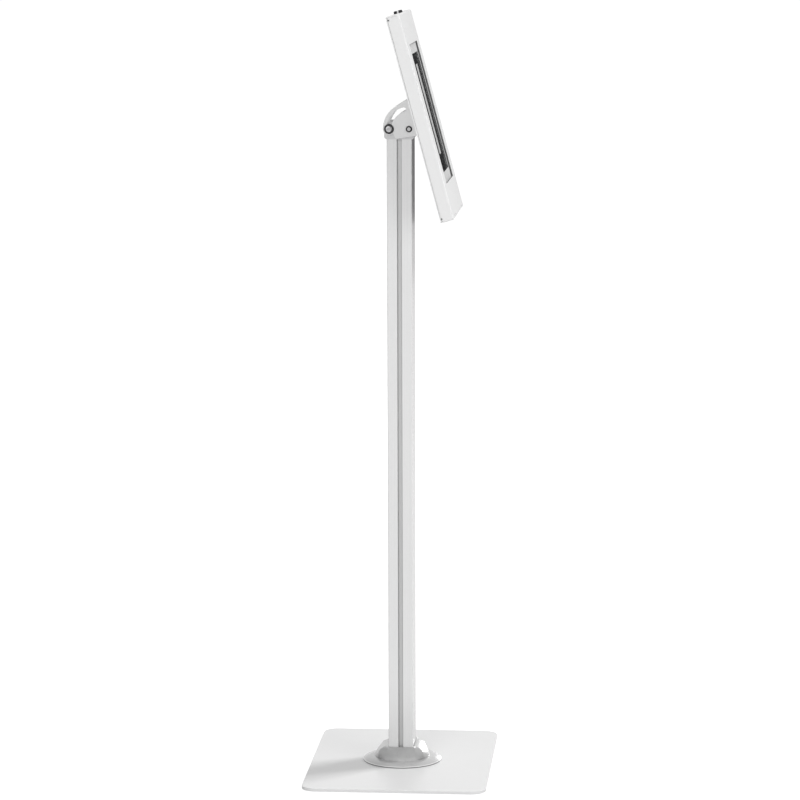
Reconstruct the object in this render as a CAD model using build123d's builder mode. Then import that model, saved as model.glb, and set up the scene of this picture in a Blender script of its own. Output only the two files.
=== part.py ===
from build123d import *
import os
from math import acos, atan2, cos, degrees, radians, sin

# Floor stand for a tablet. All sizes are millimetres. The origin is on the floor under the column's
# axis, +Z points up and the screen faces -Y.

# Base plate and its pads
plate_width = 400
plate_depth = 300
plate_thickness = 5
plate_corner_radius = 24
plate_edge_chamfer = 0.6
pad_radius = 14
pad_thickness = 1
pad_edge_distance = 28

# Column, an extruded profile with a groove in each narrow face and four screw ports
column_width = 65
column_depth = 41
column_length = 1039
column_wall = 2.2
column_corner_radius = 1.8
groove_mouth = 8
groove_depth = 7
port_spread_width = 28
port_spread_depth = 27
port_outer_radius = 4.8
port_rib = 5
port_slit = 3
cable_hole_height = 66
cable_hole_radius = 7

# Grommet in the column's rear wall
grommet_bore_radius = 4.5
grommet_flange_radius = 9.5
grommet_flange_thickness = 1.6
grommet_reach = 3

# Flared collar around the column's foot: four bulging faces above a round brim
collar_height = 28.3
collar_waist_height = 20
collar_waist_corner_x = 30
collar_waist_corner_y = 36.5
collar_waist_middle_x = 40.5
collar_waist_middle_y = 38.5
collar_brim_height = 7.4
collar_brim_radius = 46
collar_crown_height = 5.9
collar_crown_radius = 57
collar_rim_radius = 65.2
collar_rim_thickness = 1.6
collar_wall = 2
collar_gap = 0.3
collar_split_angle = 62

# M6 screws, shared by the base, the head block, the pivot and the lock
screw_radius = 3
screw_gap = 0.05
countersink_radius = 6
countersink_depth = 3
base_screw_length = 22
cap_head_radius = 5
cap_head_height = 6
cap_socket_radius = 2.9
cap_socket_depth = 3
head_screw_length = 26
button_head_radius = 5.25
button_head_height = 3.3
button_flat_radius = 2.9
button_socket_radius = 2.3
button_socket_depth = 2

# Head block on top of the column, between the ears of the tilt bracket
head_depth = 49
head_rise = 11
head_foot_radius = 5
head_top_radius = 10
head_screw_seat = 10
counterbore_gap = 0.2
cable_bore_radius = 6.5
cross_bore_depth = 12
pivot_rise = 17
pivot_offset = 16.3
lock_spacing = 32.5

# Tilt: the screen leans back by lean_angle and can be laid back by tilt_travel more
lean_angle = 15
tilt_travel = 75

# Tilt bracket, one folded sheet with two ears and a web
ear_gap = 0.7
ear_thickness = 3
ear_radius = 42.5
slot_width = 7
lobe_radius = 10
ear_heel_reach = 25
ear_heel_drop = 9.8
ear_heel_radius = 3
ear_waist_reach = 26.4
ear_waist_drop = 1.4
web_distance = 17.7
web_bottom = 14.7
web_top = 49.7
bend_radius = 4
bend_inner_radius = 1

# Bushes, discs and washers at the ears
bush_radius = 4
bush_flange_radius = 7
bush_flange_thickness = 0.6
bush_stand = 0.2
disc_radius = 8
washer_radius = 8
washer_thickness = 1.5
washer_gap = 0.1
thread_reach = 11

# Bracket screws, M5 from inside the case
bracket_screw_radius = 2.5
bracket_screw_spread_width = 50
bracket_screw_spread_height = 44
bracket_screw_head_radius = 4.7
bracket_screw_head_height = 2.7
bracket_socket_radius = 1.7
bracket_socket_depth = 1.5

# Case: rear shell and front frame. Its width and height follow from the tablet's
case_depth = 22.2
case_rise = 14.7
case_corner_radius = 3
back_thickness = 2
cable_window_radius = 10
skirt_gap = 0.6
tray_gap = 1
tray_wall = 1.5
tray_height = 15
tray_foot_height = 13.2
front_thickness = 2
front_bend_radius = 2.5
lip_length = 3
relief_depth = 2.2
relief_top_inset = 4.4
relief_top_length = 2.5
relief_bottom_length = 7.5
buffer_gap = 0.3

# Cut-out in the front frame and the black edging that lines it
window_side_lap = 5.9
window_end_lap = 4.8
window_rise = 2.1
frame_side = 44.7
frame_end = 53.75
window_corner_radius = 1.5
edging_thickness = 0.8
edging_depth = 2.1
edging_recess = 0.1

# Tablet
bezel_side = 10.8
bezel_end = 21.5
tablet_thickness = 7.5
tablet_corner_radius = 12
tablet_edge_chamfer = 1.6
screen_width = 147.8
screen_height = 197.1
screen_thickness = 0.8
bezel_inset = 0.8
glass_recess = 3.2

# Corner holders and pads that carry the tablet
holder_arm = 26
holder_wall = 5
holder_gap = 0.3
holder_height = 12.5
holder_shelf = 8
foam_length = 11
foam_width = 7
foam_side_inset = 2.5
foam_end_inset = 9
retaining_length = 60
retaining_width = 2.4
retaining_gap = 0.1
retaining_spacing = 80

# Hinge of the front frame, two sets of knuckles along the lower front edge
knuckle_radius = 2.4
knuckle_length = 8
knuckle_gap = 0.4
frame_knuckle_length = 12
hinge_spacing = 150
hinge_pin_radius = 1.2
hinge_pin_gap = 0.05

# Lock in the top of the front frame
lock_flange_radius = 7.2
lock_flange_height = 4.4
lock_flange_chamfer = 0.8
lock_body_radius = 4.8
lock_body_length = 16
lock_hole_gap = 0.1
lock_nut_size = 7.5
lock_nut_thickness = 3.5
lock_core_radius = 3.2
lock_core_gap = 0.05
lock_core_recess = 0.3
lock_core_tail = 3
key_slot_length = 4.4
key_slot_width = 1.3
key_slot_depth = 5
cam_thickness = 2
cam_gap = 0.4
cam_length = 8
cam_width = 5.4
cam_hub_radius = 4.4
keeper_gap = 0.6
keeper_sheet = 1.8
keeper_foot = 11
keeper_width = 5.4
keeper_post_distance = 9.7
keeper_lip_distance = 5.4
tray_notch_gap = 1

# One overrun for every cut that has to pass right through
overrun = 1

# Sizes, heights and positions that follow from the sizes above
tablet_width = screen_width + 2 * bezel_side
tablet_height = screen_height + 2 * bezel_end
window_width = tablet_width - 2 * window_side_lap
window_height = tablet_height - 2 * window_end_lap
case_width = window_width + 2 * frame_side
case_height = window_height + 2 * frame_end
plate_top = pad_thickness + plate_thickness
column_top = plate_top + column_length
pivot_height = column_top + pivot_rise
front_face = case_depth
glass_face = case_depth - glass_recess
tablet_back = glass_face - tablet_thickness
half_width = column_width / 2
ear_inside = half_width + ear_gap
ear_outside = ear_inside + ear_thickness
skirt_end = back_thickness + skirt_gap
tray_half_width = case_width / 2 - front_thickness - tray_gap
tray_top = case_height / 2 - front_thickness - tray_gap
hinge_drop = case_height / 2 - knuckle_radius
hinge_depth = case_depth - knuckle_radius
lock_depth = case_depth / 2
lip_foot = hinge_depth - lip_length
lip_reach = (knuckle_radius ** 2 + lip_length ** 2) ** (1 / 2)
hinge_length = frame_knuckle_length + 2 * (knuckle_gap + knuckle_length)

# Directions of the leaning screen: front_way points out of the glass, up_way runs up the case
front_way = Vector(0, -cos(radians(lean_angle)), sin(radians(lean_angle)))
up_way = Vector(0, sin(radians(lean_angle)), cos(radians(lean_angle)))
across_way = Vector(1, 0, 0)
pivot_point = Vector(0, -pivot_offset, pivot_height)
case_centre = pivot_point + up_way * case_rise + front_way * web_distance

# Working planes: side views look along X, with the front to the right
head_side = Plane(origin=(0, 0, pivot_height), x_dir=(0, -1, 0), z_dir=(-1, 0, 0))
ear_side = Plane(origin=pivot_point, x_dir=front_way, z_dir=(-1, 0, 0))
case_back = Plane(origin=case_centre, x_dir=across_way, z_dir=front_way)
case_side = Plane(origin=case_centre, x_dir=front_way, z_dir=(-1, 0, 0))

pivot_place = (pivot_offset, 0)
lock_place = (pivot_offset - lock_spacing, 0)
port_places = GridLocations(port_spread_width, port_spread_depth, 2, 2).locations
web_centre = (web_top - web_bottom) / 2 - case_rise
web_height = web_top + web_bottom


def turned(plane, outline, mode=Mode.ADD):
    """Turns an outline of (radius, height) points about the plane's normal."""
    section = Plane(origin=plane.origin, x_dir=plane.x_dir, z_dir=-plane.y_dir)
    with BuildSketch(section) as profile:
        with BuildLine():
            Polyline(*outline, close=True)
        make_face()
    revolve(profile.sketch, axis=Axis(plane.origin, plane.z_dir), mode=mode)


def socket(plane, radius, depth):
    """Cuts a hexagon socket down from the plane."""
    with BuildSketch(plane) as hexagon:
        RegularPolygon(radius, 6)
    extrude(hexagon.sketch, amount=-depth, mode=Mode.SUBTRACT)


def button_screw(plane, length):
    """M6 screw with a domed head that sits on the plane and a shank of one length below it."""
    head_bulge = (button_head_radius - button_flat_radius) / 3
    section = Plane(origin=plane.origin, x_dir=plane.x_dir, z_dir=-plane.y_dir)
    with BuildSketch(section) as profile:
        with BuildLine():
            Polyline((button_flat_radius, button_head_height), (0, button_head_height), (0, -length),
                     (screw_radius, -length), (screw_radius, 0), (button_head_radius, 0))
            SagittaArc((button_head_radius, 0), (button_flat_radius, button_head_height), -head_bulge)
        make_face()
    revolve(profile.sketch, axis=Axis(plane.origin, plane.z_dir))
    socket(plane.offset(button_head_height), button_socket_radius, button_socket_depth)


def ring(plane, inner_radius, outer_radius, thickness):
    """Flat ring that rises from the plane."""
    with BuildSketch(plane) as face:
        Circle(outer_radius)
        Circle(inner_radius, mode=Mode.SUBTRACT)
    extrude(face.sketch, amount=thickness)


def outward(place, side, distance):
    """Plane at a place of the head's side view, facing out to one side of the stand."""
    origin = head_side.from_local_coords(Vector(place[0], place[1], side * distance))
    return Plane(origin=origin, x_dir=(0, -1, 0), z_dir=(-side, 0, 0))


# Base plate: rounded corners, countersunk from below for the column's screws
with BuildPart() as base_plate:
    with BuildSketch(Plane.XY.offset(pad_thickness)):
        RectangleRounded(plate_width, plate_depth, plate_corner_radius)
    extrude(amount=plate_thickness)
    chamfer(base_plate.faces().sort_by(Axis.Z)[-1].edges(), plate_edge_chamfer)
    with Locations(Plane.XY.offset(pad_thickness).rotated((180, 0, 0))):
        with GridLocations(port_spread_width, port_spread_depth, 2, 2):
            CounterSinkHole(screw_radius + screw_gap, countersink_radius + screw_gap)
base_plate.part.label = "base_plate"

# Self-adhesive pads near the plate's corners
with BuildPart() as foot_pads:
    with BuildSketch(Plane.XY):
        with GridLocations(plate_width - 2 * pad_edge_distance, plate_depth - 2 * pad_edge_distance, 2, 2):
            Circle(pad_radius)
    extrude(amount=pad_thickness)
foot_pads.part.label = "foot_pads"

# Countersunk screws from below the plate into the column's ports
with BuildPart() as base_screws:
    for place in port_places:
        foot = Plane(origin=place.position + Vector(0, 0, pad_thickness), z_dir=(0, 0, 1))
        turned(foot, [(0, 0), (countersink_radius, 0), (screw_radius, countersink_depth),
                      (screw_radius, base_screw_length), (0, base_screw_length)])
        with BuildSketch(foot) as hexagon:
            RegularPolygon(button_socket_radius, 6)
        extrude(hexagon.sketch, amount=button_socket_depth, mode=Mode.SUBTRACT)
base_screws.part.label = "base_screws"

# Column: extruded profile, hollow, with grooved sides and C-shaped screw ports
with BuildPart() as column:
    with BuildSketch(Plane.XY.offset(plate_top)):
        RectangleRounded(column_width, column_depth, column_corner_radius)
        Rectangle(column_width - 2 * column_wall, column_depth - 2 * column_wall, mode=Mode.SUBTRACT)
        channel = groove_depth + column_wall
        with Locations((half_width - channel / 2, 0), (channel / 2 - half_width, 0)):
            Rectangle(channel, groove_mouth + 2 * column_wall)
        with Locations((half_width - groove_depth / 2, 0), (groove_depth / 2 - half_width, 0)):
            Rectangle(groove_depth, groove_mouth, mode=Mode.SUBTRACT)
        with GridLocations(port_spread_width, port_spread_depth + port_outer_radius, 2, 2):
            Rectangle(port_rib, port_outer_radius)
        with GridLocations(port_spread_width, port_spread_depth, 2, 2):
            Circle(port_outer_radius)
            Circle(screw_radius + screw_gap, mode=Mode.SUBTRACT)
        slit_spacing = port_spread_depth - port_outer_radius
        with GridLocations(port_spread_width, slit_spacing, 2, 2):
            Rectangle(port_slit, port_outer_radius, mode=Mode.SUBTRACT)
    extrude(amount=column_length)
    with BuildSketch(Plane.XZ.offset(-column_depth / 2 - overrun)) as outlet:
        with Locations((0, cable_hole_height)):
            Circle(cable_hole_radius)
    extrude(amount=column_wall + 2 * overrun, mode=Mode.SUBTRACT)
column.part.label = "column"

# Grommet in the cable hole at the column's back
with BuildPart() as cable_grommet:
    rear = Plane(origin=(0, column_depth / 2, cable_hole_height), x_dir=(1, 0, 0), z_dir=(0, 1, 0))
    turned(rear, [(grommet_bore_radius, -grommet_reach), (cable_hole_radius, -grommet_reach),
                  (cable_hole_radius, 0), (grommet_flange_radius, 0),
                  (grommet_flange_radius, grommet_flange_thickness / 2),
                  (cable_hole_radius, grommet_flange_thickness),
                  (grommet_bore_radius, grommet_flange_thickness)])
cable_grommet.part.label = "cable_grommet"


def four_sided(height, corner, middle):
    """Outline level with one height above the plate: four arcs between mirrored corners."""
    corners = [(x * corner[0], y * corner[1]) for x, y in ((1, -1), (1, 1), (-1, 1), (-1, -1))]
    middles = [(middle[0], 0), (0, middle[1]), (-middle[0], 0), (0, -middle[1])]
    with BuildSketch(Plane.XY.offset(plate_top + height)) as outline:
        with BuildLine():
            for first, between, second in zip(corners, middles, corners[1:] + corners[:1]):
                ThreePointArc(first, between, second)
        make_face()
    return outline.sketch


def column_outline(height, clearance):
    """Rectangle around the column at one height above the plate."""
    with BuildSketch(Plane.XY.offset(plate_top + height)) as outline:
        Rectangle(column_width + 2 * clearance, column_depth + 2 * clearance)
    return outline.sketch


def collar_body(clearance, inset):
    """Stages of the collar's body from the column down to the brim, for its outside or its hollow."""
    brim_radius = collar_brim_radius - inset
    brim_corner = (brim_radius * cos(radians(collar_split_angle)), brim_radius * sin(radians(collar_split_angle)))
    return [column_outline(collar_height - inset, clearance),
            four_sided(collar_waist_height - inset,
                       (collar_waist_corner_x - inset, collar_waist_corner_y - inset),
                       (collar_waist_middle_x - inset, collar_waist_middle_y - inset)),
            four_sided(collar_brim_height - inset, brim_corner, (brim_radius, brim_radius))]


# Collar: moulded cover, four bulging faces that run into a round brim
with BuildPart() as base_collar:
    loft(collar_body(collar_gap + collar_wall, 0))
    brim_floor = Plane.XY.offset(plate_top)
    with BuildSketch(Plane(origin=brim_floor.origin, x_dir=across_way, z_dir=(0, -1, 0))) as brim:
        with BuildLine():
            Polyline((collar_brim_radius, collar_brim_height), (0, collar_brim_height), (0, 0),
                     (collar_rim_radius, 0), (collar_rim_radius, collar_rim_thickness))
            ThreePointArc((collar_rim_radius, collar_rim_thickness),
                          (collar_crown_radius, collar_crown_height),
                          (collar_brim_radius, collar_brim_height))
        make_face()
    revolve(brim.sketch, axis=Axis(brim_floor.origin, brim_floor.z_dir))
    loft(collar_body(collar_gap, collar_wall), mode=Mode.SUBTRACT)
    turned(brim_floor, [(0, 0), (collar_rim_radius - collar_wall, 0),
                        (collar_brim_radius - collar_wall, collar_brim_height - collar_wall),
                        (0, collar_brim_height - collar_wall)], Mode.SUBTRACT)
    extrude(column_outline(collar_height - collar_wall, collar_gap), amount=collar_wall, mode=Mode.SUBTRACT)
base_collar.part.label = "base_collar"

# Head block: cast block with rounded shoulders, tapped from both sides for the pivot and the lock
with BuildPart() as head_block:
    with BuildSketch(head_side.offset(-half_width)) as block:
        with BuildLine():
            Polyline((-head_depth / 2, -pivot_rise), (head_depth / 2, -pivot_rise),
                     (head_depth / 2, head_rise), (-head_depth / 2, head_rise), close=True)
        make_face()
        fillet(block.vertices().group_by(Axis.Y)[0], head_foot_radius)
        fillet(block.vertices().group_by(Axis.Y)[-1], head_top_radius)
    extrude(amount=column_width)
    with Locations(Plane.XY.offset(pivot_height + head_rise)):
        Hole(cable_bore_radius)
        with GridLocations(port_spread_width, port_spread_depth, 2, 2):
            CounterBoreHole(screw_radius + screw_gap, cap_head_radius + counterbore_gap,
                            pivot_rise + head_rise - head_screw_seat)
    for side in (-1, 1):
        for place in (pivot_place, lock_place):
            with BuildSketch(outward(place, side, half_width)) as bore:
                Circle(screw_radius + screw_gap)
            extrude(bore.sketch, amount=-cross_bore_depth, mode=Mode.SUBTRACT)
head_block.part.label = "head_block"

# Cap screws that hold the head block on the column
with BuildPart() as head_screws:
    seat_height = column_top + head_screw_seat
    for place in port_places:
        seat = Plane(origin=place.position + Vector(0, 0, seat_height), z_dir=(0, 0, 1))
        turned(seat, [(0, cap_head_height), (cap_head_radius, cap_head_height), (cap_head_radius, 0),
                      (screw_radius, 0), (screw_radius, -head_screw_length), (0, -head_screw_length)])
        socket(seat.offset(cap_head_height), cap_socket_radius, cap_socket_depth)
head_screws.part.label = "head_screws"

# Flanged bushes on which the ears turn, one each side
with BuildPart() as pivot_bushes:
    for side in (-1, 1):
        start = outward(pivot_place, side, half_width)
        sleeve = ear_gap + ear_thickness + bush_stand
        turned(start, [(screw_radius + screw_gap, 0), (bush_flange_radius, 0),
                       (bush_flange_radius, bush_flange_thickness), (bush_radius, bush_flange_thickness),
                       (bush_radius, sleeve), (screw_radius + screw_gap, sleeve)])
pivot_bushes.part.label = "pivot_bushes"

# Pivot screws, clamped on the bushes so that the ears stay free
with BuildPart() as pivot_screws:
    for side in (-1, 1):
        reach = ear_gap + ear_thickness + bush_stand
        button_screw(outward(pivot_place, side, half_width + reach), reach + thread_reach)
pivot_screws.part.label = "pivot_screws"

# Thin discs between the ears and the head block at the lock
with BuildPart() as friction_discs:
    for side in (-1, 1):
        ring(outward(lock_place, side, half_width), screw_radius + screw_gap, disc_radius,
             bush_flange_thickness)
friction_discs.part.label = "friction_discs"

# Washers and screws that clamp the ears through their curved slots
with BuildPart() as lock_washers:
    for side in (-1, 1):
        ring(outward(lock_place, side, ear_outside + washer_gap), screw_radius + screw_gap, washer_radius,
             washer_thickness)
lock_washers.part.label = "lock_washers"

with BuildPart() as lock_screws:
    reach = ear_gap + ear_thickness + washer_gap + washer_thickness
    for side in (-1, 1):
        button_screw(outward(lock_place, side, half_width + reach), reach + thread_reach)
lock_screws.part.label = "lock_screws"


def ear_profile():
    """Ear seen from the side: a fan about the pivot, with a straight top edge and a heel below the web."""
    lock_angle = 90 + tilt_travel
    lock_end = Vector(cos(radians(lock_angle)), sin(radians(lock_angle))) * lock_spacing
    far_point = Vector(web_distance, web_top)
    tangent_angle = degrees(atan2(web_top, web_distance) + acos(ear_radius / far_point.length))
    tangent_point = Vector(cos(radians(tangent_angle)), sin(radians(tangent_angle))) * ear_radius
    arc_end = Vector(cos(radians(lock_angle)), sin(radians(lock_angle))) * ear_radius
    with BuildSketch(Plane.XY) as profile:
        with BuildLine():
            Polyline(arc_end, lock_end, (-ear_waist_reach, -ear_waist_drop),
                     (-ear_heel_reach, -ear_heel_drop), (web_distance, -web_bottom), far_point, tangent_point)
            CenterArc((0, 0), ear_radius, tangent_angle, lock_angle - tangent_angle)
        make_face()
        heel = profile.vertices().sort_by_distance((-ear_heel_reach, -ear_heel_drop))[0]
        fillet(heel, ear_heel_radius)
        with Locations(lock_end):
            Circle(lobe_radius)
        SlotArc(CenterArc((0, 0), lock_spacing, 90, tilt_travel), slot_width, mode=Mode.SUBTRACT)
        Circle(bush_radius + screw_gap, mode=Mode.SUBTRACT)
    return profile.sketch


# Tilt bracket: one folded sheet, two ears joined by a web that is screwed to the case
with BuildPart() as tilt_bracket:
    sheet_back = ear_radius + lobe_radius
    folded = Plane(origin=pivot_point - up_way * ear_radius, x_dir=across_way, z_dir=up_way)
    with BuildSketch(folded) as section:
        with Locations((0, (sheet_back - web_distance) / 2)):
            Rectangle(2 * ear_outside, sheet_back + web_distance)
        fillet(section.vertices().group_by(Axis.Y)[0], bend_radius)
        with Locations((0, (sheet_back + overrun + ear_thickness - web_distance) / 2)):
            RectangleRounded(2 * ear_inside, sheet_back + overrun + web_distance - ear_thickness,
                             bend_inner_radius, mode=Mode.SUBTRACT)
    extrude(amount=2 * ear_radius + lobe_radius)
    extrude(ear_side.offset(-ear_outside) * ear_profile(), amount=2 * ear_outside, dir=ear_side.z_dir,
            mode=Mode.INTERSECT)
    with BuildSketch(case_back):
        with Locations((0, web_centre)):
            Circle(cable_window_radius)
            with GridLocations(bracket_screw_spread_width, bracket_screw_spread_height, 2, 2):
                Circle(bracket_screw_radius + screw_gap)
    extrude(amount=-2 * ear_thickness, mode=Mode.SUBTRACT)
tilt_bracket.part.label = "tilt_bracket"

# Screws from inside the case into the web
with BuildPart() as bracket_screws:
    floor = case_back.offset(back_thickness)
    for place in GridLocations(bracket_screw_spread_width, bracket_screw_spread_height, 2, 2).locations:
        spot = floor.from_local_coords(place.position + Vector(0, web_centre, 0))
        seat = Plane(origin=spot, x_dir=across_way, z_dir=front_way)
        turned(seat, [(0, bracket_screw_head_height),
                      (bracket_screw_head_radius, bracket_screw_head_height),
                      (bracket_screw_head_radius, 0), (bracket_screw_radius, 0),
                      (bracket_screw_radius, -back_thickness - ear_thickness),
                      (0, -back_thickness - ear_thickness)])
        socket(seat.offset(bracket_screw_head_height), bracket_socket_radius, bracket_socket_depth)
bracket_screws.part.label = "bracket_screws"


def hinge_stations(length, spacing):
    """Places along the hinge line for pieces of one length, mirrored about each hinge's middle."""
    middles = [-hinge_spacing / 2, hinge_spacing / 2]
    if spacing == 0:
        return middles
    return [middle + side * spacing / 2 for middle in middles for side in (-1, 1)]


shell_knuckle_spacing = frame_knuckle_length + 2 * knuckle_gap + knuckle_length
shell_stations = hinge_stations(knuckle_length, shell_knuckle_spacing)
frame_stations = hinge_stations(frame_knuckle_length, 0)


def knuckle(middle, length, mode=Mode.ADD, radius=knuckle_radius):
    """Cylinder on the hinge line, centred on one place along it."""
    with BuildSketch(case_side.offset(-middle - length / 2)) as face:
        with Locations((hinge_depth, -hinge_drop)):
            Circle(radius)
    extrude(face.sketch, amount=length, mode=mode)


# Rear shell: back plate with an upstanding tray, hinge knuckles below and a notch for the lock above
with BuildPart() as rear_shell:
    with BuildSketch(case_back):
        RectangleRounded(case_width, case_height, case_corner_radius)
    extrude(amount=back_thickness)
    tray_span = tray_top + case_height / 2
    tray_middle = (tray_top - case_height / 2) / 2
    with BuildSketch(case_back.offset(back_thickness)):
        with Locations((0, tray_middle)):
            Rectangle(2 * tray_half_width, tray_span)
            Rectangle(2 * (tray_half_width - tray_wall), tray_span - 2 * tray_wall, mode=Mode.SUBTRACT)
    extrude(amount=tray_height)
    step_height = knuckle_radius + lip_reach + tray_gap
    with BuildSketch(case_back.offset(back_thickness + tray_foot_height)):
        with Locations((0, (step_height - case_height) / 2)):
            Rectangle(2 * (tray_half_width + overrun), step_height)
    extrude(amount=tray_height, mode=Mode.SUBTRACT)
    for middle in shell_stations:
        with BuildSketch(case_side.offset(-middle - knuckle_length / 2)) as leg:
            leg_foot = back_thickness + tray_foot_height
            with Locations(((leg_foot + hinge_depth) / 2, (tray_wall - case_height) / 2)):
                Rectangle(hinge_depth - leg_foot, tray_wall)
        extrude(leg.sketch, amount=knuckle_length)
        knuckle(middle, knuckle_length)
        knuckle(middle, knuckle_length + 2 * overrun, Mode.SUBTRACT, hinge_pin_radius)
    with BuildSketch(case_back):
        with Locations((0, web_centre)):
            Circle(cable_window_radius)
            with GridLocations(bracket_screw_spread_width, bracket_screw_spread_height, 2, 2):
                Circle(bracket_screw_radius + screw_gap)
    extrude(amount=back_thickness, mode=Mode.SUBTRACT)
    notch_half = lock_nut_size + tray_notch_gap
    with BuildSketch(case_back.offset(back_thickness)):
        with Locations((0, tray_top)):
            Rectangle(2 * notch_half, 2 * tray_wall + overrun)
    extrude(amount=tray_height + overrun, mode=Mode.SUBTRACT)
rear_shell.part.label = "rear_shell"

# Pins of the front frame's hinge
with BuildPart() as hinge_pins:
    for middle in frame_stations:
        knuckle(middle, hinge_length, Mode.ADD, hinge_pin_radius)
hinge_pins.part.label = "hinge_pins"

# Rubber buffers at the corners of the back plate, seen in the skirt's relief notches
relief_top = case_height / 2 - relief_top_inset - relief_top_length / 2
relief_bottom = (relief_bottom_length - case_height) / 2
relief_marks = ((relief_top, relief_top_length), (relief_bottom, relief_bottom_length))
with BuildPart() as skirt_buffers:
    buffer_width = front_thickness + tray_gap - 2 * buffer_gap
    buffer_length = relief_top_length - 2 * buffer_gap
    buffer_low = relief_bottom_length - case_height / 2 - buffer_gap - buffer_length / 2
    with BuildSketch(case_back.offset(back_thickness)):
        for middle in (relief_top, buffer_low):
            with GridLocations(case_width - 2 * buffer_gap - buffer_width, 0, 2, 1):
                with Locations((0, middle)):
                    Rectangle(buffer_width, buffer_length)
    extrude(amount=skirt_gap + relief_depth - buffer_gap)
skirt_buffers.part.label = "skirt_buffers"

# Front frame: folded cover with the cut-out, three skirts, a short lower lip and hinge knuckles
skirt_length = front_face - skirt_end
with BuildPart() as front_frame:
    with BuildSketch(case_back.offset(skirt_end)):
        RectangleRounded(case_width, case_height, case_corner_radius)
    extrude(amount=skirt_length)
    fillet(front_frame.faces().sort_by(Axis((0, 0, 0), front_way))[-1].edges(), front_bend_radius)
    with BuildSketch(case_back.offset(skirt_end)):
        RectangleRounded(case_width - 2 * front_thickness, case_height - 2 * front_thickness,
                         case_corner_radius - front_thickness)
    extrude(amount=skirt_length - front_thickness, mode=Mode.SUBTRACT)
    with BuildSketch(case_back.offset(skirt_end)):
        with Locations((0, -case_height / 2)):
            Rectangle(case_width - 2 * front_thickness, 2 * front_thickness + overrun)
    extrude(amount=lip_foot - skirt_end, mode=Mode.SUBTRACT)
    with BuildSketch(case_back.offset(skirt_end)):
        with Locations((0, window_rise)):
            RectangleRounded(window_width + 2 * edging_thickness, window_height + 2 * edging_thickness,
                             window_corner_radius + edging_thickness)
    extrude(amount=skirt_length, mode=Mode.SUBTRACT)
    for middle, length in relief_marks:
        with BuildSketch(case_back.offset(skirt_end)):
            with Locations((0, middle)):
                Rectangle(case_width + overrun, length)
        extrude(amount=relief_depth, mode=Mode.SUBTRACT)
    for middle in shell_stations:
        room = knuckle_length + 2 * knuckle_gap
        with BuildSketch(case_side.offset(-middle - room / 2)) as space:
            with Locations((hinge_depth, -hinge_drop)):
                Rectangle(3 * knuckle_radius, 2 * (knuckle_radius + knuckle_gap))
        extrude(space.sketch, amount=room, mode=Mode.SUBTRACT)
    for middle in frame_stations:
        knuckle(middle, frame_knuckle_length)
        knuckle(middle, frame_knuckle_length + 2 * overrun, Mode.SUBTRACT, hinge_pin_radius + hinge_pin_gap)
    top_middle = case_back.from_local_coords(Vector(0, case_height / 2, lock_depth))
    top_face = Plane(origin=top_middle, x_dir=across_way, z_dir=up_way)
    with BuildSketch(top_face):
        Circle(lock_body_radius + lock_hole_gap)
    extrude(amount=-front_thickness - overrun, mode=Mode.SUBTRACT)
front_frame.part.label = "front_frame"

# Black edging that lines the cut-out
with BuildPart() as window_edging:
    with BuildSketch(case_back.offset(front_face - edging_recess)):
        with Locations((0, window_rise)):
            RectangleRounded(window_width + 2 * edging_thickness, window_height + 2 * edging_thickness,
                             window_corner_radius + edging_thickness)
            RectangleRounded(window_width, window_height, window_corner_radius, mode=Mode.SUBTRACT)
    extrude(amount=-edging_depth)
window_edging.part.label = "window_edging"

# Pads behind the cut-out's short edges that press the tablet down
with BuildPart() as retaining_pads:
    pad_reach = (window_height / 2 + edging_thickness + tablet_height / 2) / 2
    with BuildSketch(case_back.offset(glass_face + retaining_gap)):
        with Locations((0, window_rise)):
            with GridLocations(retaining_spacing, 2 * pad_reach, 2, 2):
                Rectangle(retaining_length, retaining_width)
    extrude(amount=glass_recess - front_thickness - retaining_gap)
retaining_pads.part.label = "retaining_pads"

# Tablet: rounded body, pale bezel and dark screen
with BuildPart() as tablet_body:
    with BuildSketch(case_back.offset(tablet_back)):
        with Locations((0, window_rise)):
            RectangleRounded(tablet_width, tablet_height, tablet_corner_radius)
    extrude(amount=tablet_thickness)
    back_face = tablet_body.faces().sort_by(Axis((0, 0, 0), front_way))[0]
    chamfer(back_face.edges(), tablet_edge_chamfer)
    with BuildSketch(case_back.offset(glass_face)):
        with Locations((0, window_rise)):
            RectangleRounded(tablet_width - 2 * bezel_inset, tablet_height - 2 * bezel_inset,
                             tablet_corner_radius - bezel_inset)
    extrude(amount=-screen_thickness, mode=Mode.SUBTRACT)
tablet_body.part.label = "tablet_body"

with BuildPart() as tablet_bezel:
    with BuildSketch(case_back.offset(glass_face)):
        with Locations((0, window_rise)):
            RectangleRounded(tablet_width - 2 * bezel_inset, tablet_height - 2 * bezel_inset,
                             tablet_corner_radius - bezel_inset)
            Rectangle(screen_width, screen_height, mode=Mode.SUBTRACT)
    extrude(amount=-screen_thickness)
tablet_bezel.part.label = "tablet_bezel"

with BuildPart() as tablet_screen:
    with BuildSketch(case_back.offset(glass_face)):
        with Locations((0, window_rise)):
            Rectangle(screen_width, screen_height)
    extrude(amount=-screen_thickness)
tablet_screen.part.label = "tablet_screen"


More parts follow.
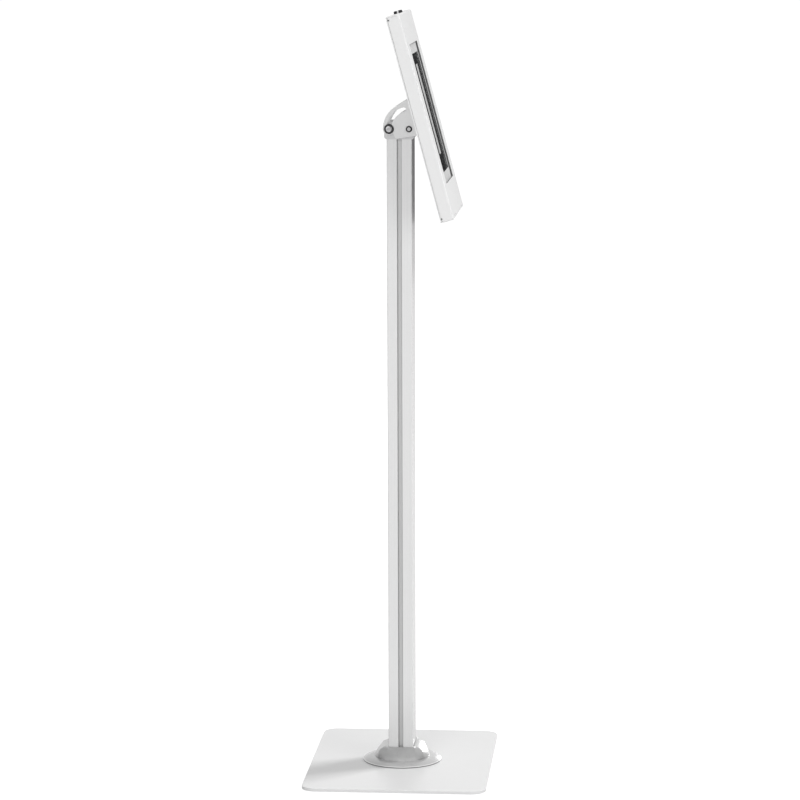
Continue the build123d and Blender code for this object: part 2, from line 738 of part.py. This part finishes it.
# Corner holders: L-shaped blocks with a shelf under the tablet
holder_outer_width = tablet_width + 2 * (holder_gap + holder_wall)
holder_outer_height = tablet_height + 2 * (holder_gap + holder_wall)
with BuildPart() as corner_holders:
    with BuildSketch(case_back.offset(back_thickness)):
        with Locations((0, window_rise)):
            with GridLocations(holder_outer_width - holder_arm, holder_outer_height - holder_arm, 2, 2):
                Rectangle(holder_arm, holder_arm)
    extrude(amount=holder_height)
    with BuildSketch(case_back.offset(back_thickness + holder_shelf)):
        with Locations((0, window_rise)):
            RectangleRounded(tablet_width + 2 * holder_gap, tablet_height + 2 * holder_gap,
                             tablet_corner_radius)
    extrude(amount=holder_height, mode=Mode.SUBTRACT)
corner_holders.part.label = "corner_holders"

# Foam strips on the shelves, under the tablet
with BuildPart() as foam_pads:
    foam_thickness = tablet_back - back_thickness - holder_shelf
    with BuildSketch(case_back.offset(back_thickness + holder_shelf)):
        with Locations((0, window_rise)):
            with GridLocations(tablet_width - foam_width - 2 * foam_side_inset,
                               tablet_height - foam_length - 2 * foam_end_inset, 2, 2):
                Rectangle(foam_width, foam_length)
    extrude(amount=foam_thickness)
foam_pads.part.label = "foam_pads"

# Lock barrel through the top skirt, with its nut
with BuildPart() as lock_barrel:
    flange_top = lock_flange_height
    turned(top_face, [(lock_core_radius + lock_core_gap, -lock_body_length),
                      (lock_body_radius, -lock_body_length), (lock_body_radius, 0), (lock_flange_radius, 0),
                      (lock_flange_radius, flange_top - lock_flange_chamfer),
                      (lock_flange_radius - lock_flange_chamfer, flange_top),
                      (lock_core_radius + lock_core_gap, flange_top)])
lock_barrel.part.label = "lock_barrel"

with BuildPart() as lock_nut:
    with BuildSketch(top_face.offset(-front_thickness)):
        RegularPolygon(lock_nut_size, 6)
        Circle(lock_body_radius, mode=Mode.SUBTRACT)
    extrude(amount=-lock_nut_thickness)
lock_nut.part.label = "lock_nut"

# Lock core with its key slot
core_top = lock_flange_height - lock_core_recess
core_foot = -lock_body_length - lock_core_tail
with BuildPart() as lock_core:
    with BuildSketch(top_face.offset(core_foot)):
        Circle(lock_core_radius)
    extrude(amount=core_top - core_foot)
    with BuildSketch(top_face.offset(core_top)):
        Rectangle(key_slot_width, key_slot_length)
    extrude(amount=-key_slot_depth, mode=Mode.SUBTRACT)
lock_core.part.label = "lock_core"

# Cam below the barrel, at rest turned towards the back plate
cam_top = -lock_body_length - cam_gap
with BuildPart() as lock_cam:
    with BuildSketch(top_face.offset(cam_top)):
        Circle(cam_hub_radius)
        with Locations((0, cam_length / 2)):
            Rectangle(cam_width, cam_length)
        Circle(lock_core_radius, mode=Mode.SUBTRACT)
    extrude(amount=-cam_thickness)
lock_cam.part.label = "lock_cam"

# Keeper on the back plate: the cam turns under its lip
keeper_lip = lock_depth + cam_width / 2 + keeper_gap
keeper_level = case_height / 2 + cam_top - cam_thickness / 2
with BuildPart() as lock_keeper:
    keeper_middle = case_back.from_local_coords(Vector(0, keeper_level, 0))
    top_view = Plane(origin=keeper_middle, x_dir=across_way, z_dir=up_way)
    post_outside = keeper_post_distance + keeper_sheet
    with BuildSketch(top_view.offset(-keeper_width / 2)):
        with BuildLine():
            Polyline((-post_outside - keeper_foot, -back_thickness),
                     (-keeper_post_distance, -back_thickness),
                     (-keeper_post_distance, -keeper_lip), (-keeper_lip_distance, -keeper_lip),
                     (-keeper_lip_distance, -keeper_lip - keeper_sheet),
                     (-post_outside, -keeper_lip - keeper_sheet),
                     (-post_outside, -back_thickness - keeper_sheet),
                     (-post_outside - keeper_foot, -back_thickness - keeper_sheet), close=True)
        make_face()
    extrude(amount=keeper_width)
lock_keeper.part.label = "lock_keeper"

pieces = [base_plate, foot_pads, base_screws, column, cable_grommet, base_collar, head_block, head_screws,
          pivot_bushes, pivot_screws, friction_discs, lock_washers, lock_screws, tilt_bracket,
          bracket_screws, rear_shell, hinge_pins, skirt_buffers, front_frame, window_edging,
          retaining_pads, tablet_body, tablet_bezel, tablet_screen, corner_holders, foam_pads, lock_barrel,
          lock_nut, lock_core, lock_cam, lock_keeper]
os.makedirs("parts", exist_ok=True)
for piece in pieces:
    export_step(piece.part, "parts/" + piece.part.label + ".step")
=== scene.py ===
import math
import bpy
import numpy as np
from mathutils import Matrix

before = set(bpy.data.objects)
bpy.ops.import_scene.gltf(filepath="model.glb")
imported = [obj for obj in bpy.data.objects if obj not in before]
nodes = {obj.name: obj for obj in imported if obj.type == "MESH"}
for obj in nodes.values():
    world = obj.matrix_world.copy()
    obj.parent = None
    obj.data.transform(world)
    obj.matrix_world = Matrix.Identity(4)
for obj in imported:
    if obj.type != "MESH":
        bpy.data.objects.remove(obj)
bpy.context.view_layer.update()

scene = bpy.context.scene

# Sizes, places and directions of the stand that the finishes follow, in metres
MM = 0.001
COLUMN_HALF_WIDTH, GROOVE_HALF_MOUTH = 32.5 * MM, 4 * MM
PIVOT = np.array([0, -16.3, 1062]) * MM
CLAMP = PIVOT + np.array([0, 32.5, 0]) * MM
LEAN = math.radians(15)
FRONT = np.array([0, -math.cos(LEAN), math.sin(LEAN)])
UP = np.array([0, math.sin(LEAN), math.cos(LEAN)])
CASE_RISE, CASE_REACH, CASE_DEPTH = 14.7 * MM, 17.7 * MM, 22.2 * MM
CASE_BACK = PIVOT + CASE_RISE * UP + CASE_REACH * FRONT
LOCK = CASE_BACK + CASE_DEPTH / 2 * FRONT


# Shader building

class Wire:
    """A shader value that takes part in Python sums. Each operator adds one Math node."""

    def __init__(self, graph, socket):
        self.graph, self.socket = graph, socket

    def maths(self, operation, *values):
        return self.graph.node("ShaderNodeMath", {"operation": operation}, *values)

    def __add__(self, other):
        return self.maths("ADD", self, other)

    def __radd__(self, other):
        return self.maths("ADD", other, self)

    def __sub__(self, other):
        return self.maths("SUBTRACT", self, other)

    def __rsub__(self, other):
        return self.maths("SUBTRACT", other, self)

    def __mul__(self, other):
        return self.maths("MULTIPLY", self, other)

    def __rmul__(self, other):
        return self.maths("MULTIPLY", other, self)

    def __abs__(self):
        return self.maths("ABSOLUTE", self)

    def clip(self):
        """The value held between nought and one."""
        return self.maths("MINIMUM", self.maths("MAXIMUM", self, 0), 1)

    def swing(self, size, middle=0.5):
        """A noise as a swing of the given size about nought."""
        return (self - middle) * size


class Graph:
    """A node tree that every node is added to by one method."""

    def __init__(self, tree):
        self.tree = tree

    def node(self, kind, settings, *values, output=0, numbered=(), **named):
        """Adds a node, sets its settings, then fills its sockets in order, by number or by name."""
        made = self.tree.nodes.new(kind)
        for key, value in settings.items():
            setattr(made, key, value)
        for key, value in [*enumerate(values), *numbered, *named.items()]:
            socket = made.inputs[key if isinstance(key, int) else key.replace("_", " ")]
            if isinstance(value, Wire):
                self.tree.links.new(value.socket, socket)
            else:
                socket.default_value = value
        return Wire(self, made.outputs[output]) if len(made.outputs) else None

    def rays(self):
        """Camera, glossy and transmission rays: each wire is one for such a ray, and nought for others."""
        path = self.node("ShaderNodeLightPath", {}).socket.node
        kinds = ("Is Camera Ray", "Is Glossy Ray", "Is Transmission Ray")
        return [Wire(self, path.outputs[kind]) for kind in kinds]


class Finish(Graph):
    """One procedural material: a principled surface whose varying inputs come from node expressions."""

    def __init__(self, name, **constants):
        self.material = bpy.data.materials.new(name)
        self.material.use_nodes = True
        super().__init__(self.material.node_tree)
        self.surface = self.tree.nodes["Principled BSDF"]
        for key, value in constants.items():
            self.surface.inputs[key.replace("_", " ")].default_value = value
        self.place = self.node("ShaderNodeTexCoord", {}, output="Object")
        split = self.node("ShaderNodeSeparateXYZ", {}, self.place).socket.node
        self.x, self.y, self.z = (Wire(self, out) for out in split.outputs)

    def feed(self, name, value):
        """Links a varying input of the surface."""
        self.tree.links.new(value.socket, self.surface.inputs[name])

    def vector(self, operation, *values, output="Vector"):
        return self.node("ShaderNodeVectorMath", {"operation": operation}, *values, output=output)

    def noise(self, scale, detail=2, stretch=None, roughness=0.5):
        """Noise from nought to one, in features per metre. stretch multiplies them along X, Y and Z."""
        place = self.place if stretch is None else self.vector("MULTIPLY", self.place, stretch)
        return self.node("ShaderNodeTexNoise", {}, Vector=place, Scale=scale, Detail=detail,
                         Roughness=roughness)

    def cells(self, scale):
        """Distance to the nearest of scattered points, with scale in cells per metre."""
        return self.node("ShaderNodeTexVoronoi", {}, Vector=self.place, Scale=scale)

    def blend(self, share, first, second):
        """Colour mix from first to second by share. A Mix node's colours go into its sockets 6 and 7."""
        a, b = (colour if isinstance(colour, Wire) else (*colour, 1) for colour in (first, second))
        mixed = ((0, share), (6, a), (7, b))
        return self.node("ShaderNodeMix", {"data_type": "RGBA"}, numbered=mixed, output=2)

    def between(self, value, start, end):
        """Eases from nought at start to one at end."""
        return self.node("ShaderNodeMapRange", {"interpolation_type": "SMOOTHSTEP"}, value, start, end, 0, 1)

    def within(self, value, centre, half, blur):
        """One where the value is nearer to the centre than half, and nought beyond, eased over the blur."""
        return self.between(abs(value - centre), half + blur / 2, half - blur / 2)

    def bump(self, height, depth, strength=0.5):
        """A relief with its depth in metres."""
        return self.node("ShaderNodeBump", {}, Strength=strength, Distance=depth, Height=height)

    def along(self, direction):
        """Metres from the middle of the case's back plane, along its FRONT or UP direction."""
        return self.y * direction[1] + self.z * direction[2] - float(CASE_BACK @ direction)

    def off_axis(self, centre, axis):
        """Distance in metres from an axis through centre: the length of offset cross axis."""
        offset = self.vector("SUBTRACT", self.place, tuple(centre))
        return self.vector("LENGTH", self.vector("CROSS_PRODUCT", offset, tuple(axis)), output="Value")


def grey(level):
    return (level, level, level)


def shaded(colour, share):
    """The colour with each channel times share."""
    return tuple(channel * share for channel in colour)


# Finishes

def powder_coat(name, colour, shade=0.03, rough=0.42, peel=0.06 * MM, **gloss):
    """Powder coat: orange peel, clouds that are darker by a share, and a little uneven sheen."""
    f = Finish(name, Metallic=0, **{"IOR": 1.5, **gloss})
    cloud, grit = f.noise(scale=9, detail=3), f.noise(scale=900, detail=3)
    f.feed("Base Color", f.blend(cloud * 0.7 + grit * 0.3, shaded(colour, 1 - shade), colour))
    f.feed("Roughness", rough + f.noise(scale=60).swing(0.08) + grit.swing(0.08))
    orange_peel = f.noise(scale=520) * 0.7 + f.noise(scale=1500) * 0.3
    f.feed("Normal", f.bump(orange_peel, depth=peel, strength=0.6))
    return f.material


def die_lines(f, colour, rough):
    """Gives a finish the sheen and shallow relief of die lines along Z, and returns its streaked colour."""
    lines = f.noise(scale=1, detail=4, stretch=(2600, 2600, 1.2), roughness=0.6)
    broad = f.noise(scale=1, stretch=(420, 420, 0.5))
    grain = f.noise(scale=1400)
    f.feed("Roughness", rough + lines.swing(0.14) + grain.swing(0.05))
    f.feed("Normal", f.bump(lines * 0.7 + broad * 0.3, depth=0.04 * MM))
    return f.blend(lines * 0.5 + broad * 0.3 + grain * 0.2, shaded(colour, 0.95), colour)


def lined_shell(name, colour, rough):
    """Matt shell with fine lines along Z."""
    f = Finish(name, Metallic=0, IOR=1.5)
    f.feed("Base Color", die_lines(f, colour, rough))
    return f.material


def column_satin(name, colour, rough):
    """Satin coat over die lines, with painted shade in the grooves and, by up to 18 percent, at the column's
    foot.
    """
    f = Finish(name, Metallic=0, IOR=1.55, Coat_Weight=0.3, Coat_Roughness=0.15)
    face_end, depth_start = COLUMN_HALF_WIDTH - 0.2 * MM, COLUMN_HALF_WIDTH - 2.2 * MM
    mouth_end, mouth_start = GROOVE_HALF_MOUTH + 0.6 * MM, GROOVE_HALF_MOUTH + 0.4 * MM
    middle_end, side_start = GROOVE_HALF_MOUTH - 2.2 * MM, GROOVE_HALF_MOUTH - 0.8 * MM
    shaded_foot_top, shaded_foot_bottom = 160 * MM, 20 * MM
    # Painted shade in the grooves: their floor darker, their sides darker still
    in_groove = f.between(abs(f.x), face_end, depth_start) * f.between(abs(f.y), mouth_end, mouth_start)
    sides = f.between(abs(f.y), middle_end, side_start)
    groove_painted_shade = f.blend(sides, shaded(colour, 0.85), shaded(colour, 0.62))
    coat = f.blend(in_groove, die_lines(f, colour, rough), groove_painted_shade)
    # Painted shade: up to 18 percent darker towards the column's foot
    f.feed("Base Color", f.blend(f.between(f.z, shaded_foot_top, shaded_foot_bottom) * 0.3, coat, shaded(colour, 0.4)))
    return f.material


def eroded_grain(f, rough, depth):
    """Gives a finish the fine spark-eroded grain of moulded plastic, and returns its faint flow pattern."""
    flow, spark = f.noise(scale=22, detail=3), f.cells(scale=1500)
    f.feed("Roughness", rough + flow.swing(0.08) + spark.swing(0.06, middle=0.4))
    f.feed("Normal", f.bump(spark * 0.6 + f.noise(scale=2200, detail=1) * 0.4, depth=depth))
    return flow


def moulded(name, colour, rough):
    """Moulded plastic with a fine grain and a faint flow pattern."""
    f = Finish(name, Metallic=0, IOR=1.46)
    flow = eroded_grain(f, rough, depth=0.05 * MM)
    f.feed("Base Color", f.blend(flow, shaded(colour, 0.96), colour))
    return f.material


def collar_plastic(name):
    """Glossy grey moulding, with painted light over the brim, a painted highlight along the lip and a
    painted shadow at its foot on the plate.
    """
    f = Finish(name, Metallic=0, IOR=1.8, Coat_Weight=1, Coat_Roughness=0.26)
    brim_top, brim_bottom = 22 * MM, 13 * MM
    lip_top, lip_bottom = 8.9 * MM, 8.1 * MM
    shaded_foot_top, shaded_foot_bottom = 7.7 * MM, 7.4 * MM
    body = f.blend(eroded_grain(f, rough=0.28, depth=0.04 * MM), grey(0.30), grey(0.33))
    # Painted light: the brim paler than the body
    brim = f.blend(f.between(f.z, brim_top, brim_bottom), body, grey(0.40))
    # Painted highlight along the lip
    lip = f.blend(f.between(f.z, lip_top, lip_bottom), brim, grey(0.68))
    # Painted shadow at the foot, where the collar meets the plate
    f.feed("Base Color", f.blend(f.between(f.z, shaded_foot_top, shaded_foot_bottom), lip, grey(0.1)))
    return f.material


def turned_metal(name, colour, centre, axis, rough, dark_reflection_radius=None):
    """Bright metal with fine rings about an axis, as a lathe leaves it, and a painted dark reflection past
    dark_reflection_radius.
    """
    f = Finish(name, Metallic=1)
    radius = f.off_axis(centre, axis)
    rings = f.node("ShaderNodeTexNoise", {"noise_dimensions": "1D"}, W=radius, Scale=5200, Detail=3)
    cloud = f.noise(scale=700)
    shine = f.blend(rings * 0.6 + cloud * 0.4, shaded(colour, 0.85), colour)
    if dark_reflection_radius:
        # Painted dark reflection beyond that radius
        dark_reflection_rim = f.between(radius, dark_reflection_radius - 0.3 * MM, dark_reflection_radius + 0.3 * MM)
        shine = f.blend(dark_reflection_rim, shine, (0.05, 0.05, 0.052))
    f.feed("Base Color", shine)
    f.feed("Roughness", rough + rings.swing(0.16) + cloud.swing(0.06))
    f.feed("Normal", f.bump(rings, depth=0.02 * MM))
    return f.material


def barrel_chrome(name):
    """Lock barrel: chrome with painted dark reflections, and a painted highlight along its middle, on either
    side.
    """
    f = Finish(name, Metallic=1)
    fleck = f.noise(scale=1600)
    # Painted highlight: a bright band along the middle of the barrel
    highlight_band = f.within(f.along(FRONT), CASE_DEPTH / 2, half=1.3 * MM, blur=0.8 * MM)
    # Painted dark reflections over the rest of the barrel
    dark_reflections = f.blend(fleck, (0.035, 0.035, 0.037), (0.05, 0.05, 0.053))
    f.feed("Base Color", f.blend(highlight_band, dark_reflections, (0.8, 0.8, 0.81)))
    f.feed("Roughness", 0.14 + fleck * 0.08)
    return f.material


def soft_rubber(name, colour, rough=0.75, pores=1300):
    """Rubber or foam with small pores, a number of them to the metre, and an uneven pale bloom."""
    f = Finish(name, Metallic=0, IOR=1.45)
    bloom = f.noise(scale=45, detail=3)
    pale = tuple(1.6 * channel + 0.01 for channel in colour)
    f.feed("Base Color", f.blend(bloom * 0.6, colour, pale))
    f.feed("Roughness", rough + bloom.swing(0.1))
    f.feed("Normal", f.bump(f.cells(pores), depth=0.1 * MM))
    return f.material


def edge_strip(name):
    """Grey edging of the cut-out, with a white lip just behind the face of the frame."""
    f = Finish(name, Metallic=0, IOR=1.45, Specular_IOR_Level=0.25)
    lip_start, lip_end = CASE_DEPTH - 0.5 * MM, CASE_DEPTH - 0.3 * MM
    bloom = f.noise(scale=300, detail=3)
    strip = f.blend(bloom, grey(0.14), grey(0.19))
    f.feed("Base Color", f.blend(f.between(f.along(FRONT), lip_start, lip_end), strip, grey(0.8)))
    f.feed("Roughness", 0.5 + bloom * 0.15)
    f.feed("Normal", f.bump(f.noise(scale=2400), depth=0.03 * MM))
    return f.material


def bezel_white(name):
    """White border printed under glass."""
    f = Finish(name, Metallic=0, IOR=1.45, Specular_IOR_Level=0.1)
    f.feed("Base Color", f.blend(f.noise(scale=40), grey(0.78), grey(0.83)))
    f.feed("Roughness", 0.22 + f.noise(scale=80, detail=3) * 0.08)
    return f.material


def display_black(name):
    """Dark display under glass, with a painted reflection of a plain pale panel, pale side margins and
    smears in its sheen.
    """
    f = Finish(name, Metallic=0, IOR=1.33, Specular_IOR_Level=0.1)
    # Painted reflection: a plain pale panel on the dark glass
    reflection_width = f.within(f.x, -9 * MM, half=15 * MM, blur=1 * MM)
    reflection_height = f.within(f.along(UP), 7.5 * MM, half=75 * MM, blur=1 * MM)
    inside_margins = f.within(f.x, 2.5 * MM, half=65.75 * MM, blur=0.5 * MM)
    dark = f.blend(f.noise(scale=30), (0.028, 0.029, 0.03), (0.036, 0.037, 0.039))
    with_reflection = f.blend(reflection_width * reflection_height, dark, grey(0.85))
    f.feed("Base Color", f.blend(inside_margins, grey(0.82), with_reflection))
    smear = f.noise(scale=1, detail=4, stretch=(60, 18, 18), roughness=0.65)
    f.feed("Roughness", 0.06 + smear * 0.08)
    return f.material


def dress(material, *names):
    """Gives CAD nodes one material on all their slots."""
    for name in names:
        slots = nodes[name].data.materials
        if len(slots) == 0:
            slots.append(material)
        for i in range(len(slots)):
            slots[i] = material


# Base and column
dress(powder_coat("white_powder_coat", grey(0.81), rough=0.32, peel=0.02 * MM), "base_plate")
dress(column_satin("column_satin", grey(0.84), rough=0.28), "column")
dress(collar_plastic("collar_plastic"), "base_collar")
dress(soft_rubber("black_rubber", grey(0.03)), "foot_pads", "cable_grommet")

# Screws, pins and small lock parts
ZINC_GREY, STEEL_GREY = (0.62, 0.63, 0.64), (0.74, 0.74, 0.75)
ALONG_X, ALONG_Z = (1, 0, 0), (0, 0, 1)
dress(turned_metal("zinc_screws", ZINC_GREY, (0, 0, 0), ALONG_Z, rough=0.32),
      "base_screws", "head_screws", "bracket_screws", "hinge_pins", "lock_keeper", "lock_nut", "lock_cam")
# The pivot screw heads carry a painted dark reflection around their bright centres
dress(turned_metal("pivot_steel", STEEL_GREY, PIVOT, ALONG_X, rough=0.18, dark_reflection_radius=2.9 * MM),
      "pivot_screws")
dress(turned_metal("clamp_steel", STEEL_GREY, CLAMP, ALONG_X, rough=0.18), "lock_screws")

# Tilt head
dress(powder_coat("head_casting_coat", (0.70, 0.70, 0.705), shade=0.06, rough=0.4), "head_block")
dress(powder_coat("bracket_powder_coat", grey(0.82), shade=0.05, rough=0.38), "tilt_bracket")
dress(moulded("black_nylon", (0.03, 0.03, 0.032), rough=0.4),
      "pivot_bushes", "friction_discs", "lock_washers")

# Case and what holds the tablet
dress(powder_coat("case_powder_coat", grey(0.86), shade=0.02, Specular_IOR_Level=0.25),
      "rear_shell", "front_frame")
dress(edge_strip("dark_edging"), "window_edging")
dress(soft_rubber("grey_rubber", grey(0.09)), "skirt_buffers")
dress(soft_rubber("black_foam", grey(0.035), rough=0.9, pores=700), "foam_pads", "retaining_pads")
dress(moulded("holder_plastic", (0.035, 0.035, 0.037), rough=0.5), "corner_holders")

# Tablet
dress(lined_shell("tablet_shell", ZINC_GREY, rough=0.35), "tablet_body")
dress(bezel_white("bezel_glass"), "tablet_bezel")
dress(display_black("display_glass"), "tablet_screen")

# Lock
dress(barrel_chrome("lock_chrome"), "lock_barrel")
dress(turned_metal("core_chrome", (0.55, 0.55, 0.56), LOCK, UP, rough=0.2), "lock_core")

# Camera at the photograph's place and angle, from a perspective fit: metres, degrees and pixels
EYE = (-5.4557, -0.4418, 1.4396)
YAW, PITCH, ROLL = (math.radians(angle) for angle in (4.655, 8.584, 0.156))
FOCAL_LENGTH, PICTURE_WIDTH = 3359.26, 800
level = np.array([math.cos(YAW), math.sin(YAW), 0])
forward = math.cos(PITCH) * level - math.sin(PITCH) * np.array([0, 0, 1])
right = np.cross(level, (0, 0, 1))
down = np.cross(forward, right)
rolled_right = math.cos(ROLL) * right + math.sin(ROLL) * down
rolled_down = -math.sin(ROLL) * right + math.cos(ROLL) * down
camera = bpy.data.objects.new("camera", bpy.data.cameras.new("camera"))
scene.collection.objects.link(camera)
turn = Matrix(np.column_stack((rolled_right, -rolled_down, -forward)).tolist())
camera.matrix_world = Matrix.Translation(EYE) @ turn.to_4x4()
camera.data.sensor_width = 36
camera.data.lens = FOCAL_LENGTH * camera.data.sensor_width / PICTURE_WIDTH
camera.data.clip_end = 100
scene.camera = camera


# Studio

def lamp(name, place, aim, size, power, glossy=False):
    """Soft square lamp at place, facing aim. Only a glossy one shows in reflections."""
    light = bpy.data.lights.new(name, "AREA")
    light.shape = "SQUARE"
    light.size, light.energy = size, power
    made = bpy.data.objects.new(name, light)
    made.visible_camera = False
    made.visible_glossy = glossy
    scene.collection.objects.link(made)
    back = np.array(place) - np.array(aim)
    side = np.cross((0, 0, 1), back)
    axes = [axis / np.linalg.norm(axis) for axis in (side, np.cross(back, side), back)]
    made.matrix_world = Matrix.Translation(place) @ Matrix(axes).transposed().to_4x4()
    return made


def card(name, corners, finish):
    """A flat card with four corners."""
    mesh = bpy.data.meshes.new(name)
    mesh.from_pydata(corners, [], [(0, 1, 2, 3)])
    mesh.materials.append(finish.material)
    made = bpy.data.objects.new(name, mesh)
    scene.collection.objects.link(made)
    return made


# Lamps, with a kicker that only lights the collar
column_middle = (0, 0, 0.75)
lamp("side", (-4.6, 0.6, 2.0), column_middle, size=2.2, power=78)
lamp("front", (-3.3, -3.7, 1.7), column_middle, size=3.2, power=65)
lamp("key", (2.5, -3.86, 6.56), (0, 0, 0), size=1.6, power=320)
kicker = lamp("kicker", (3.6, -1.2, 0.6), (0, 0, 0.05), size=1.3, power=18, glossy=True)
kicked = bpy.data.collections.new("kicker_lights")
kicked.objects.link(nodes["base_collar"])
kicker.light_linking.receiver_collection = kicked

# World: white where it is seen, itself or in gloss and glass, and a dimmer light on the stand
WORLD_LIGHT = 0.36
world = bpy.data.worlds.new("studio")
scene.world = world
world.use_nodes = True
world.node_tree.nodes.clear()
studio = Graph(world.node_tree)
camera_ray, gloss_ray, passing_ray = studio.rays()
lit = studio.node("ShaderNodeBackground", {}, (1, 1, 1, 1), WORLD_LIGHT)
seen = studio.node("ShaderNodeBackground", {}, (1, 1, 1, 1), 1)
either = studio.node("ShaderNodeMixShader", {}, (camera_ray + gloss_ray + passing_ray).clip(), lit, seen)
studio.node("ShaderNodeOutputWorld", {}, either)
scene.view_settings.view_transform = "Standard"

# Pale floor: white to the camera, less so in gloss and glass, and it keeps a soft shadow
FLOOR_REACH, FLOOR_IN_GLOSS = 40, 0.3
floor_corners = [(FLOOR_REACH * x, FLOOR_REACH * y, 0) for x, y in ((-1, -1), (1, -1), (1, 1), (-1, 1))]
ground = Finish("pale_floor", Roughness=0.9, Specular_IOR_Level=0, Emission_Strength=0.82)
camera_ray, gloss_ray, passing_ray = ground.rays()
ground.feed("Base Color", ground.blend(ground.noise(scale=3), grey(0.60), grey(0.62)))
ground.feed("Emission Color", (camera_ray + (gloss_ray + passing_ray) * FLOOR_IN_GLOSS).clip())
floor = card("floor", floor_corners, ground)

# Dark studio flag beyond the stand, seen only in gloss
FLAG_X, FLAG_Y, FLAG_Z = 0.5, (-0.26, 0.06), (0.86, 1.36)
flag_corners = [(FLAG_X, FLAG_Y[i], FLAG_Z[j]) for i, j in ((0, 0), (1, 0), (1, 1), (0, 1))]
cloth = Finish("flag_cloth", Roughness=1, Specular_IOR_Level=0)
cloth.feed("Base Color", cloth.blend(cloth.noise(scale=40, detail=3), grey(0.02), grey(0.03)))
flag = card("flag", flag_corners, cloth)
flag.visible_camera = flag.visible_diffuse = flag.visible_shadow = flag.visible_transmission = False
